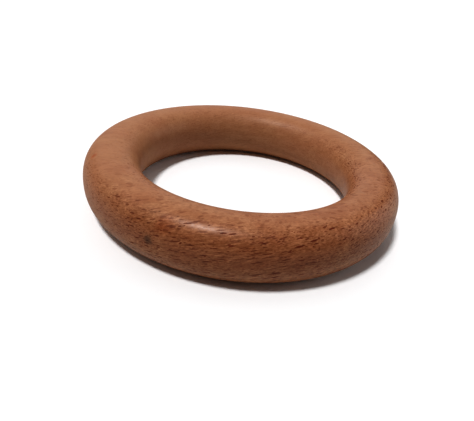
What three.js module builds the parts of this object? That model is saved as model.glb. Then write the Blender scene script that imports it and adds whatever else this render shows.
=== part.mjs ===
// A baby's wooden grasping ring: one closed ring, turned from a single piece of beech.
// Millimetres, +Z up. The ring lies on z = 0, and its axis is +Z through the origin.

import * as THREE from "three";

// Driving sizes of the ring.
const OUTER_DIAMETER = 70;
const SECTION_WIDTH = 11.6; // across the wood, measured along a radius
const SECTION_HEIGHT = 12; // through the wood, measured along the ring's axis
const FLAT_WIDTH = 1.2; // the narrow land that the turner's cutter leaves on each face
const SQUARENESS = 2.33; // of the rounded section: 2 is an ellipse, and more is squarer

// How finely the round surfaces are divided. Both counts are multiples of four,
// so that the ring's widest points are corners of the mesh.
const STEPS_ROUND_RING = 96;
const STEPS_ROUND_SIDE = 20; // of the section, from the lower land to the upper one

// Beech with a thin satin oil finish.
const BEECH_COLOUR = "#a96e4f";
const BEECH_ROUGHNESS = 0.42;

const CENTRELINE_RADIUS = (OUTER_DIAMETER - SECTION_WIDTH) / 2;

// The rounded section is a superellipse: |x / width|^n + |z / height|^n = 1.
// Turning by an angle gives the point whose two powered terms are cos² and sin².
function superellipsePoint(angle, halfWidth, halfHeight) {
  const power = 2 / SQUARENESS;
  const across = Math.sign(Math.cos(angle)) * Math.abs(Math.cos(angle)) ** power;
  const up = Math.sign(Math.sin(angle)) * Math.abs(Math.sin(angle)) ** power;
  return new THREE.Vector2(across * halfWidth, up * halfHeight);
}

// One rounded side of the section, between the edges of its two lands.
// Side 1 is the outer wall, going up. Side -1 is the wall of the hole, going down.
function sidePoints(side) {
  const halfWidth = SECTION_WIDTH / 2;
  const landShare = FLAT_WIDTH / SECTION_WIDTH;
  const landAngle = Math.acos(landShare ** (SQUARENESS / 2));
  const crownHeight = SECTION_HEIGHT / 2 / Math.sin(landAngle) ** (2 / SQUARENESS);
  const middle = new THREE.Vector2(CENTRELINE_RADIUS, SECTION_HEIGHT / 2);
  const points = [];
  for (let step = 0; step <= STEPS_ROUND_SIDE; step += 1) {
    const angle = landAngle * ((2 * step) / STEPS_ROUND_SIDE - 1);
    const point = superellipsePoint(angle, halfWidth, crownHeight);
    points.push(point.multiplyScalar(side).add(middle));
  }
  return points;
}

// The whole section, closed on its first point. Its lands are the two straight steps.
function sectionOutline() {
  const outline = [...sidePoints(1), ...sidePoints(-1)];
  outline.push(outline[0].clone());
  return outline;
}

function makeRing() {
  const geometry = new THREE.LatheGeometry(sectionOutline(), STEPS_ROUND_RING);
  geometry.rotateX(Math.PI / 2); // a lathe turns about +Y, and the ring's axis is +Z
  const beech = new THREE.MeshStandardMaterial({
    color: BEECH_COLOUR,
    roughness: BEECH_ROUGHNESS,
    metalness: 0,
  });
  const ring = new THREE.Mesh(geometry, beech);
  ring.name = "ring";
  return ring;
}

const part = new THREE.Group();
part.add(makeRing());

export default part;
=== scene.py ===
"""A baby's turned beech ring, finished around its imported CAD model. Metres, +Z up."""

import math

import bpy
import numpy as np
from mathutils import Matrix, Quaternion, Vector


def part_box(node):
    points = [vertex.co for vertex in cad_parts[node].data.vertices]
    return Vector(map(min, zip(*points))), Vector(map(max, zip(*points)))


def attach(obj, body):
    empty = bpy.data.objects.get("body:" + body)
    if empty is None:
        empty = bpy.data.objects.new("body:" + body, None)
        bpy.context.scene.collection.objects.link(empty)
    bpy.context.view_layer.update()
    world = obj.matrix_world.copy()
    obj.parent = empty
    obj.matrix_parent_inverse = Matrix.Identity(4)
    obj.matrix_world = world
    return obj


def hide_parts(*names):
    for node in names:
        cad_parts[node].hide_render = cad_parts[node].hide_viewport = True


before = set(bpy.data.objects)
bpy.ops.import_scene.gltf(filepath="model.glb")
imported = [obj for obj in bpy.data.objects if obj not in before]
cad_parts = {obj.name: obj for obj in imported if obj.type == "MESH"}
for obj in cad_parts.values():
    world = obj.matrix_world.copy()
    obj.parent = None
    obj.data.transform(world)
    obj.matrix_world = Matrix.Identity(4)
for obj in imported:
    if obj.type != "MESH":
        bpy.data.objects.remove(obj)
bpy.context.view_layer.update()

MM = 0.001

# ---------------------------------------------------------------- the ring's shape

# The section is a superellipse between two narrow flat lands, as in the CAD model.
SQUARENESS = 2.33
STEPS_ROUND_RING = 576
STEPS_ROUND_SIDE = 60
LAND_STEPS = 2

# Sanding by hand leaves the round a little uneven, always inside the turned shape.
SANDING_DEPTH = 0.035 * MM
SANDING_PITCH = 5.5 * MM

# The unevenness is three waves. Each has the axis it runs along and its rate, then how far it
# is bent, and the axis, rate and phase of the wave that bends it.
SANDING_WAVES = (
    (0, 1.3, 1.7, 1, 0.7, 0.0),
    (1, 1.1, 1.3, 2, 1.9, 0.6),
    (2, 2.3, 1.1, 0, 0.9, 2.1),
)

# The sanding fades out towards the lands: a higher power keeps it up closer to them.
SANDING_FADE_POWER = 8


def cad_sizes():
    """The radii, height and land width of the CAD ring, read from its mesh."""
    low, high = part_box("ring")
    points = np.array([v.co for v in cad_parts["ring"].data.vertices])
    radii = np.hypot(points[:, 0], points[:, 1])
    on_top = points[:, 2] > high.z - 0.01 * MM
    return {
        "outer": float(radii.max()),
        "hole": float(radii.min()),
        "height": high.z - low.z,
        "land": float(radii[on_top].max() - radii[on_top].min()),
    }


SIZES = cad_sizes()
CENTRELINE = (SIZES["outer"] + SIZES["hole"]) / 2


def section_outline():
    """Radius and height of each point round the section, from the bottom land's outer edge."""
    half_width = (SIZES["outer"] - SIZES["hole"]) / 2
    half_height = SIZES["height"] / 2
    half_land = SIZES["land"] / 2
    power = 2 / SQUARENESS
    edge = math.acos((half_land / half_width) ** (1 / power))
    crown = half_height / math.sin(edge) ** power
    angles = np.linspace(-edge, edge, STEPS_ROUND_SIDE + 1)
    across = np.cos(angles) ** power * half_width
    up = np.sign(angles) * np.abs(np.sin(angles)) ** power * crown
    inside_land = np.linspace(1, -1, LAND_STEPS + 1)[1:-1] * half_land
    level = np.full_like(inside_land, half_height)
    radii = np.concatenate([across, inside_land, -across, -inside_land])
    heights = np.concatenate([up, level, -up, -level])
    return CENTRELINE + radii, half_height + heights


def sanding(points, outward):
    """How far each point is sanded in, from nothing to SANDING_DEPTH."""
    phase = points / SANDING_PITCH
    waves = 0.0
    for axis, rate, bend, other, other_rate, shift in SANDING_WAVES:
        bending = np.sin(phase[..., other] * other_rate + shift)
        waves = waves + np.sin(phase[..., axis] * rate + bend * bending)
    count = len(SANDING_WAVES)
    rounded = 1 - np.abs(outward[..., 2]) ** SANDING_FADE_POWER
    return SANDING_DEPTH * rounded * (count + waves) / (2 * count)


def make_ring():
    """The ring as one closed, finely divided mesh."""
    radii, heights = section_outline()
    count = len(radii)
    turns = np.linspace(0, 2 * math.pi, STEPS_ROUND_RING, endpoint=False)
    cos, sin = np.cos(turns)[:, None], np.sin(turns)[:, None]
    points = np.stack([radii * cos, radii * sin, heights + 0 * cos], axis=-1)
    ahead = np.roll(points, -1, axis=1) - np.roll(points, 1, axis=1)
    around = np.stack([-sin + 0 * radii, cos + 0 * radii, 0 * cos * radii], axis=-1)
    outward = np.cross(around, ahead)
    outward /= np.linalg.norm(outward, axis=-1, keepdims=True)
    points = points - outward * sanding(points, outward)[..., None]
    turn, step = np.meshgrid(np.arange(STEPS_ROUND_RING), np.arange(count), indexing="ij")
    next_turn, next_step = (turn + 1) % STEPS_ROUND_RING, (step + 1) % count
    corners = [(turn, step), (next_turn, step), (next_turn, next_step), (turn, next_step)]
    faces = np.stack([t * count + s for t, s in corners], axis=-1).reshape(-1, 4)
    mesh = bpy.data.meshes.new("beech_ring")
    mesh.from_pydata(points.reshape(-1, 3).tolist(), [], faces.tolist())
    mesh.polygons.foreach_set("use_smooth", np.ones(len(faces), bool))
    ring = bpy.data.objects.new("beech_ring", mesh)
    bpy.context.scene.collection.objects.link(ring)
    return ring


# ---------------------------------------------------------------- node helpers


class Nodes:
    """Adds and links the nodes of one material or world."""

    def __init__(self, owner):
        owner.use_nodes = True
        self.tree = owner.node_tree
        self.tree.nodes.clear()

    def add(self, kind, inputs=None, **settings):
        node = self.tree.nodes.new(kind)
        for name, value in settings.items():
            setattr(node, name, value)
        for name, value in (inputs or {}).items():
            self.feed(node.inputs[name], value)
        return node

    def feed(self, socket, value):
        if isinstance(value, bpy.types.NodeSocket):
            self.tree.links.new(value, socket)
        else:
            socket.default_value = value

    def math(self, operation, first, second=0.0):
        return self.add("ShaderNodeMath", {0: first, 1: second}, operation=operation).outputs[0]

    def vector(self, operation, first, second):
        inputs = {0: first, 1: second}
        return self.add("ShaderNodeVectorMath", inputs, operation=operation).outputs["Vector"]

    def dot(self, first, second):
        inputs = {0: first, 1: second}
        node = self.add("ShaderNodeVectorMath", inputs, operation="DOT_PRODUCT")
        return node.outputs["Value"]

    def length(self, vector):
        node = self.add("ShaderNodeVectorMath", {0: vector}, operation="LENGTH")
        return node.outputs["Value"]

    def smooth(self, value, low, high, to_low=0.0, to_high=1.0):
        """to_low where the value is low or less, to_high where it is high or more."""
        inputs = {0: value, 1: low, 2: high, 3: to_low, 4: to_high}
        node = self.add("ShaderNodeMapRange", inputs, interpolation_type="SMOOTHSTEP")
        return node.outputs[0]

    def mix(self, share, first, second, blend_type="MIX"):
        """A Mix node, whose colour sockets come after its number and vector ones."""
        node = self.add("ShaderNodeMix", data_type="RGBA", blend_type=blend_type)
        self.feed(node.inputs[0], share)
        self.feed(node.inputs[6], first)
        self.feed(node.inputs[7], second)
        return node.outputs[2]

    def noise(self, place, cycles, detail, roughness):
        """Smooth noise with so many cycles for each unit of place, along each axis."""
        scaled = self.vector("MULTIPLY", place, cycles)
        inputs = {"Vector": scaled, "Scale": 1.0, "Detail": detail, "Roughness": roughness}
        return self.add("ShaderNodeTexNoise", inputs).outputs["Fac"]


# ---------------------------------------------------------------- beech

# How the ring lies in its board: the way the fibres run, and the way along a growth ring.
FIBRE = Vector((0.99, 0.06, 0.0))
ALONG_GROWTH_RING = Vector((-0.186, 0.048, 0.981))

# Linear colours of the wood between its flecks.
TAN = (0.455, 0.210, 0.101, 1)
RUDDY = (0.430, 0.185, 0.089, 1)

# Tints that the wood is multiplied by: one, or the darkest and lightest of a variation.
RAY_TINT = (0.34, 0.10, 0.01, 1)
PORE_TINT = (0.50, 0.40, 0.30, 1)
BLOTCH_TINTS = ((0.84, 0.72, 0.64, 1), (1.05, 1.06, 1.06, 1))
FIBRE_TINTS = ((0.76, 0.69, 0.62, 1), (1.13, 1.14, 1.15, 1))
MOTTLE_TINTS = ((0.75, 0.67, 0.60, 1), (1.20, 1.24, 1.26, 1))
PORE_STRENGTH = 0.5

# Noises in the wood: cycles per millimetre along the fibre, outward and along a growth ring,
# then the noise texture's own detail and roughness.
DRIFT = ((0.05, 0.11, 0.11), 2.0, 0.5)
BLOTCHES = ((0.28, 0.55, 0.75), 2.0, 0.5)
FIBRES = ((0.40, 2.2, 4.8), 3.0, 0.6)
MOTTLE = ((1.6, 2.6, 3.8), 2.0, 0.7)

# Spindles in the wood, in millimetres along the same axes: the spacing of their grid, their
# usual half-sizes, and a number that shifts the grid.
LONG_FLECKS = ((2.6, 0.95, 0.60), (1.20, 0.42, 0.105), 3.1)
SHORT_FLECKS = ((1.6, 0.62, 0.48), (0.65, 0.24, 0.090), 8.7)
DOTS = ((1.0, 0.42, 0.38), (0.27, 0.13, 0.08), 5.9)
PORES = ((1.8, 0.24, 0.24), (0.80, 0.055, 0.055), 5.3)

# The smallest and largest share of those half-sizes that a spindle has, and how strongly the
# faintest and the darkest one show.
SPINDLE_SIZES = (0.35, 1.2)
SPINDLE_DEPTHS = (0.46, 1.0)

# How the grain wanders, slowly and finely, and how ragged the marks' edges are: the pitch of
# each, and how far it reaches along each axis, in millimetres.
SLOW_WANDER = (11.0, (0.0, 2.2, 1.4))
FINE_WANDER = (0.6, (0.16, 0.08, 0.09))
RAGGED_EDGE = (0.8, (0.7, 0.7, 0.7))

# The side of the ring where the grain is densest.
GRAIN_SIDE = Vector((0.57, -0.82, 0.0))

# How much of the grain shows: on the faint side, on the outer wall there, where the rays lie
# flat in the surface, and where the fibres meet it on end.
FAINT_GRAIN = 0.24
WALL_GRAIN = 0.7
FLAT_RAY_GRAIN = 0.38
END_ON_GRAIN = 0.25

# How strongly the blotches show on the faint side and on the dense side.
BLOTCH_STRENGTHS = (0.4, 0.8)

# Along the front, above half its height: the wood's own ruddy streak plus painted shade on the
# front wall.
STREAK_AND_SHADE_TINT = (0.77, 0.66, 0.59, 1)
STREAK_AND_SHADE_HEIGHT = 0.66 * SIZES["height"]
STREAK_AND_SHADE_REACH = 0.38 * SIZES["height"]

# Natural marks: degrees round the ring, degrees up the section, millimetres across, tint.
MARKS = (
    (-115.5, 6, 1.8, (0.44, 0.46, 0.46, 1)),
    (-160.0, 58, 1.5, (0.95, 0.60, 0.42, 1)),
    (-111.5, 42, 3.4, (0.92, 0.76, 0.68, 1)),
)

# The satin oil finish: its roughness where it is glossiest and dullest, and how much rougher
# it is on the faint side and in the flecks.
FINISH_ROUGHNESS = (0.282, 0.425)
FAINT_SIDE_ROUGHER = 0.10
FLECK_ROUGHER = 0.3
FINISH_IOR = 1.5
FINISH_SPECULAR = 0.29

# The shine of the oiled surface takes on a little of the wood's colour.
SHINE_TINT = (1.0, 0.82, 0.73, 1)

# The relief: its full depth, its strength, and the shares of it that each feature has.
RELIEF_DEPTH = 0.015 * MM
RELIEF_STRENGTH = 0.5
FIBRE_RISE = 0.3
PORE_SINK = 0.5
FLECK_SINK = 0.5


def wood_axes():
    """Rows of a matrix: along the fibre, outward from the tree's heart, along a growth ring."""
    tangent = ALONG_GROWTH_RING.normalized()
    fibre = (FIBRE - tangent * FIBRE.dot(tangent)).normalized()
    return Matrix((fibre, tangent.cross(fibre), tangent))


def wander(nodes, place, pitch, reach):
    """The place moved about by smooth noise. Its pitch and reach are in millimetres."""
    inputs = {"Vector": place, "Scale": 1 / pitch, "Detail": 1.0}
    noise = nodes.add("ShaderNodeTexNoise", inputs).outputs["Color"]
    centred = nodes.vector("SUBTRACT", noise, (0.5, 0.5, 0.5))
    return nodes.vector("ADD", place, nodes.vector("MULTIPLY", centred, reach))


def wood_place(nodes, place):
    """The point in millimetres along the wood's axes, with the grain's slight wander."""
    turn = wood_axes().to_euler("XYZ")
    scale = (1 / MM,) * 3
    inputs = {"Vector": place, "Rotation": turn, "Scale": scale}
    mapped = nodes.add("ShaderNodeMapping", inputs).outputs[0]
    slow = wander(nodes, mapped, *SLOW_WANDER)
    return wander(nodes, slow, *FINE_WANDER)


def specks(nodes, place, cell, size, seed):
    """Spindles on a jittered grid: 0 outside, and up to 1 inside. Sizes are in millimetres.

    Each spindle has a size and a strength of its own.
    """
    scaled = nodes.vector("DIVIDE", place, cell)
    moved = nodes.vector("ADD", scaled, (seed, seed * 1.7, seed * 2.3))
    inputs = {"Vector": moved, "Scale": 1.0, "Randomness": 1.0}
    texture = nodes.add("ShaderNodeTexVoronoi", inputs, feature="F1", distance="EUCLIDEAN")
    offset = nodes.vector("SUBTRACT", texture.outputs["Position"], moved)
    in_mm = nodes.vector("MULTIPLY", offset, cell)
    distance = nodes.length(nodes.vector("DIVIDE", in_mm, size))
    own = nodes.add("ShaderNodeSeparateColor", {0: texture.outputs["Color"]})
    reach = nodes.smooth(own.outputs[0], 0.0, 1.0, *SPINDLE_SIZES)
    inside = nodes.math("DIVIDE", distance, reach)
    depth = nodes.smooth(own.outputs[1], 0.0, 1.0, *SPINDLE_DEPTHS)
    return nodes.math("MULTIPLY", nodes.smooth(inside, 0.78, 1.05, 1.0, 0.0), depth)


def dense_side(nodes, place):
    """From 0 at the side of the ring where the grain is faint to 1 where it is dense."""
    toward = nodes.dot(place, GRAIN_SIDE.normalized())
    return nodes.smooth(toward, -0.55 * CENTRELINE, 0.85 * CENTRELINE)


def ruddy_streak_and_shade(nodes, place):
    """1 in the ruddy streak and painted shade along the front, fading above, below and to its
    ends.
    """
    apart = nodes.add("ShaderNodeSeparateXYZ", {0: place})
    away = nodes.math("ABSOLUTE", nodes.math("SUBTRACT", apart.outputs[2], STREAK_AND_SHADE_HEIGHT))
    level = nodes.smooth(away, 0.25 * STREAK_AND_SHADE_REACH, STREAK_AND_SHADE_REACH, 1.0, 0.0)
    front = nodes.smooth(apart.outputs[1], -1.05 * CENTRELINE, -0.55 * CENTRELINE, 1.0, 0.0)
    return nodes.math("MULTIPLY", level, front)


def grain_strength(nodes, place, dense):
    """How strongly the grain shows.

    It is fainter where the rays lie flat, where the fibres meet the surface on end, and on the
    faint side, where the outer wall keeps more of it than the rest.
    """
    radius = nodes.length(nodes.vector("MULTIPLY", place, (1, 1, 0)))
    on_wall = nodes.smooth(radius, 1.08 * CENTRELINE, SIZES["outer"], 0.0, WALL_GRAIN)
    by_side = nodes.smooth(dense, 0.0, 1.0, FAINT_GRAIN, 1.0)
    across = nodes.math("MAXIMUM", by_side, on_wall)
    normal = nodes.add("ShaderNodeNewGeometry").outputs["Normal"]
    fibre, _, tangent = wood_axes()
    along_tangent = nodes.math("ABSOLUTE", nodes.dot(normal, tangent))
    along_fibre = nodes.math("ABSOLUTE", nodes.dot(normal, fibre))
    flat = nodes.smooth(along_tangent, 0.80, 1.0, 1.0, FLAT_RAY_GRAIN)
    on_end = nodes.smooth(along_fibre, 0.62, 1.0, 1.0, END_ON_GRAIN)
    return nodes.math("MULTIPLY", nodes.math("MULTIPLY", flat, on_end), across)


def ray_flecks(nodes, place):
    """The ends of the rays, as dark dashes of three sizes."""
    dashes = [specks(nodes, place, *kind) for kind in (LONG_FLECKS, SHORT_FLECKS, DOTS)]
    return nodes.math("MAXIMUM", nodes.math("MAXIMUM", dashes[0], dashes[1]), dashes[2])


def section_point(turn, rise):
    """A surface point in millimetres: degrees round the ring, and degrees up the section."""
    power = 2 / SQUARENESS
    across = math.cos(math.radians(rise)) ** power * (SIZES["outer"] - SIZES["hole"]) / 2
    up = math.sin(math.radians(rise)) ** power * SIZES["height"] / 2
    radius = CENTRELINE + across
    height = SIZES["height"] / 2 + up
    angle = math.radians(turn)
    return Vector((radius * math.cos(angle), radius * math.sin(angle), height)) / MM


def add_marks(nodes, place, colour):
    """The small natural marks of this piece of wood, with ragged soft edges."""
    in_mm = nodes.vector("MULTIPLY", place, (1 / MM,) * 3)
    ragged = wander(nodes, in_mm, *RAGGED_EDGE)
    for turn, rise, width, tint in MARKS:
        distance = nodes.length(nodes.vector("SUBTRACT", ragged, section_point(turn, rise)))
        share = nodes.smooth(distance, 0.15 * width, 0.75 * width, 1.0, 0.0)
        colour = nodes.mix(share, colour, tint, "MULTIPLY")
    return colour


def vary(nodes, colour, strength, noise, tints):
    """The colour multiplied by something between two tints, as the noise goes up."""
    tint = nodes.mix(nodes.smooth(noise, 0.30, 0.70), *tints)
    return nodes.mix(strength, colour, tint, "MULTIPLY")


def finish_roughness(nodes, mottle, dense, flecks):
    """The roughness of the oiled surface."""
    polish = nodes.smooth(mottle, 0.25, 0.75, *FINISH_ROUGHNESS)
    by_side = nodes.smooth(dense, 0.0, 1.0, FAINT_SIDE_ROUGHER, 0.0)
    by_fleck = nodes.math("MULTIPLY", flecks, FLECK_ROUGHER)
    return nodes.math("ADD", polish, nodes.math("ADD", by_side, by_fleck))


def relief(nodes, fibre, pores, flecks):
    """The surface normal, with raised fibres and sunk pores and flecks."""
    raised = nodes.math("MULTIPLY", fibre, FIBRE_RISE)
    height = nodes.math("SUBTRACT", raised, nodes.math("MULTIPLY", pores, PORE_SINK))
    height = nodes.math("SUBTRACT", height, nodes.math("MULTIPLY", flecks, FLECK_SINK))
    inputs = {"Height": height, "Strength": RELIEF_STRENGTH, "Distance": RELIEF_DEPTH}
    return nodes.add("ShaderNodeBump", inputs).outputs[0]


def beech():
    """Oiled steamed beech: fibres, fine pores and dark ray flecks, all through the solid."""
    material = bpy.data.materials.new("oiled_beech")
    nodes = Nodes(material)
    object_place = nodes.add("ShaderNodeTexCoord").outputs["Object"]
    place = wood_place(nodes, object_place)

    drift = nodes.noise(place, *DRIFT)
    blotch = nodes.noise(place, *BLOTCHES)
    fibre = nodes.noise(place, *FIBRES)
    mottle = nodes.noise(place, *MOTTLE)
    pores = specks(nodes, place, *PORES)
    dense = dense_side(nodes, object_place)
    strength = grain_strength(nodes, object_place, dense)
    flecks = nodes.math("MULTIPLY", ray_flecks(nodes, place), strength)

    colour = nodes.mix(nodes.smooth(drift, 0.35, 0.65), TAN, RUDDY)
    blotched = nodes.smooth(dense, 0.0, 1.0, *BLOTCH_STRENGTHS)
    colour = vary(nodes, colour, blotched, blotch, BLOTCH_TINTS)
    colour = vary(nodes, colour, strength, fibre, FIBRE_TINTS)
    colour = vary(nodes, colour, strength, mottle, MOTTLE_TINTS)
    colour = nodes.mix(nodes.math("MULTIPLY", pores, PORE_STRENGTH), colour, PORE_TINT, "MULTIPLY")
    colour = nodes.mix(flecks, colour, RAY_TINT, "MULTIPLY")
    # The wood's ruddy streak along the front, with painted shade on the front wall.
    colour = nodes.mix(ruddy_streak_and_shade(nodes, object_place), colour, STREAK_AND_SHADE_TINT, "MULTIPLY")
    colour = add_marks(nodes, object_place, colour)

    inputs = {
        "Base Color": colour,
        "Roughness": finish_roughness(nodes, mottle, dense, flecks),
        "Normal": relief(nodes, fibre, pores, flecks),
        "Metallic": 0.0,
        "IOR": FINISH_IOR,
        "Specular IOR Level": FINISH_SPECULAR,
        "Specular Tint": SHINE_TINT,
    }
    shader = nodes.add("ShaderNodeBsdfPrincipled", inputs)
    nodes.add("ShaderNodeOutputMaterial", {"Surface": shader.outputs[0]})
    return material


# ---------------------------------------------------------------- floor, camera and lights

# The table looks white, and throws less light back up at the ring than it shows.
FLOOR_SEEN = (1.04, 1.05, 1.06, 1)
FLOOR_BOUNCE = (0.64, 0.62, 0.59, 1)
FLOOR_HALF_SIDE = 60 * CENTRELINE


def make_floor():
    """A plain white table top, far wider than the view."""
    half = FLOOR_HALF_SIDE
    mesh = bpy.data.meshes.new("floor")
    corners = [(-half, -half, 0), (half, -half, 0), (half, half, 0), (-half, half, 0)]
    mesh.from_pydata(corners, [], [(0, 1, 2, 3)])
    floor = bpy.data.objects.new("floor", mesh)
    bpy.context.scene.collection.objects.link(floor)
    material = bpy.data.materials.new("white_table")
    nodes = Nodes(material)
    seen = nodes.add("ShaderNodeLightPath").outputs["Is Camera Ray"]
    white = nodes.mix(seen, FLOOR_BOUNCE, FLOOR_SEEN)
    shader = nodes.add("ShaderNodeBsdfDiffuse", {"Color": white})
    nodes.add("ShaderNodeOutputMaterial", {"Surface": shader.outputs[0]})
    mesh.materials.append(material)


# The camera stands in front of the ring and looks down at it from close by.
# Its distance and aim are in radii of the ring's centreline.
CAMERA_ELEVATION = math.radians(28.71)
CAMERA_DISTANCE = 3.585
CAMERA_AIM = Vector((0.1958, -0.4189, 0.0))
CAMERA_ROLL = math.radians(8.82)
CAMERA_LENS = 33.04
CAMERA_SENSOR = 36.0

# The middle of the picture is a little off the lens's axis.
CAMERA_SHIFT = (-0.0617, 0.0337)


def make_camera():
    data = bpy.data.cameras.new("camera")
    data.lens = CAMERA_LENS
    data.sensor_width = CAMERA_SENSOR
    data.shift_x, data.shift_y = CAMERA_SHIFT
    data.clip_start = 0.1 * CENTRELINE
    data.clip_end = 200 * CENTRELINE
    camera = bpy.data.objects.new("camera", data)
    bpy.context.scene.collection.objects.link(camera)
    toward = Vector((0, -math.cos(CAMERA_ELEVATION), math.sin(CAMERA_ELEVATION)))
    camera.location = toward * CAMERA_DISTANCE * CENTRELINE
    direction = CAMERA_AIM * CENTRELINE - camera.location
    level = direction.to_track_quat("-Z", "Y")
    camera.rotation_mode = "QUATERNION"
    camera.rotation_quaternion = level @ Quaternion((0, 0, 1), CAMERA_ROLL)
    bpy.context.scene.camera = camera


# One strong high key light, in front on the left, and weak wide ones on the other sides.
# Each has its azimuth, clockwise from +Y, its elevation and its width, all in degrees, and
# its strength. A strength of 1 lights a white card that faces it to a radiance of 1.
LIGHTS = {
    "key": (235, 71.5, 11, 0.79),
    "left": (270, 40, 50, 0.08),
    "back": (348, 43, 80, 0.26),
    "right": (76, 17, 50, 0.22),
}


def add_soft_light(name, azimuth, elevation, width, strength):
    """A distant soft light, the same all over the table."""
    data = bpy.data.lights.new(name, "SUN")
    data.angle = math.radians(width)
    data.energy = strength * math.pi
    light = bpy.data.objects.new(name, data)
    bpy.context.scene.collection.objects.link(light)
    turn, rise = math.radians(azimuth), math.radians(elevation)
    level = math.cos(rise)
    toward = Vector((math.sin(turn) * level, math.cos(turn) * level, math.sin(rise)))
    light.location = toward * 10 * CENTRELINE
    light.rotation_mode = "QUATERNION"
    light.rotation_quaternion = toward.to_track_quat("Z", "Y")


# The background's brightness on everything else, and to the camera.
WORLD_GLOW = 0.03
WORLD_SEEN = 1.0


def make_world():
    """White to the camera, and a faint even light on everything else."""
    world = bpy.data.worlds.new("studio")
    bpy.context.scene.world = world
    nodes = Nodes(world)
    seen = nodes.add("ShaderNodeLightPath").outputs["Is Camera Ray"]
    level = nodes.smooth(seen, 0.0, 1.0, WORLD_GLOW, WORLD_SEEN)
    back = nodes.add("ShaderNodeBackground", {"Color": (1, 1, 1, 1), "Strength": level})
    nodes.add("ShaderNodeOutputWorld", {"Surface": back.outputs[0]})


# A touch more contrast, as a phone's camera gives.
VIEW_GAMMA = 0.85


def main():
    bpy.context.scene.view_settings.view_transform = "Standard"
    bpy.context.scene.view_settings.gamma = VIEW_GAMMA
    ring = make_ring()
    ring.data.materials.append(beech())
    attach(ring, "root")
    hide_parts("ring")
    make_floor()
    make_camera()
    make_world()
    for name, light in LIGHTS.items():
        add_soft_light(name, *light)


main()
